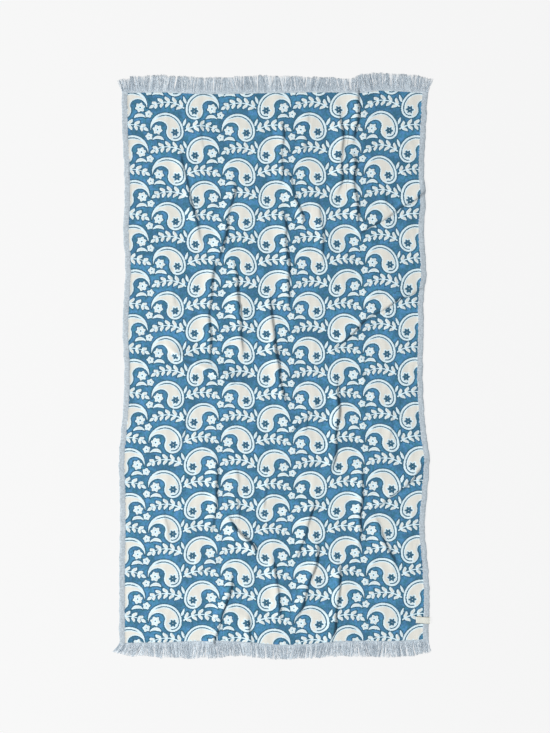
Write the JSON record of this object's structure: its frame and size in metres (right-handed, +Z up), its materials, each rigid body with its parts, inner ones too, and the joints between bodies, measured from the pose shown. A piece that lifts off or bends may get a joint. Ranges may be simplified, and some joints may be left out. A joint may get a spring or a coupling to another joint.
{
  "type": "turkish towel",
  "caption": "Flat-woven cotton bath and beach towel with side hems, a fringe at each end and a small blank tape label, spread out flat.",
  "frame": {"origin": "middle of the towel's outline, on the surface that it lies on", "axes": "+Y along the towel from the labelled end to the other, +X across it towards the labelled side, +Z up out of its face"},
  "size_m": [0.9764, 1.8038, 0.0112],
  "materials": {
    "woven_cloth": "matt jacquard weave in mid blue and off-white, with plain grey-blue selvedges",
    "fringe_yarn": "loose twisted cotton yarn, grey-blue",
    "label_tape": "woven cotton tape, off-white, blank"
  },
  "bodies": {
    "root": {"towel_cloth": "woven_cloth", "fringe_top": "fringe_yarn", "fringe_bottom": "fringe_yarn", "label": "label_tape"}
  },
  "joints": []
}
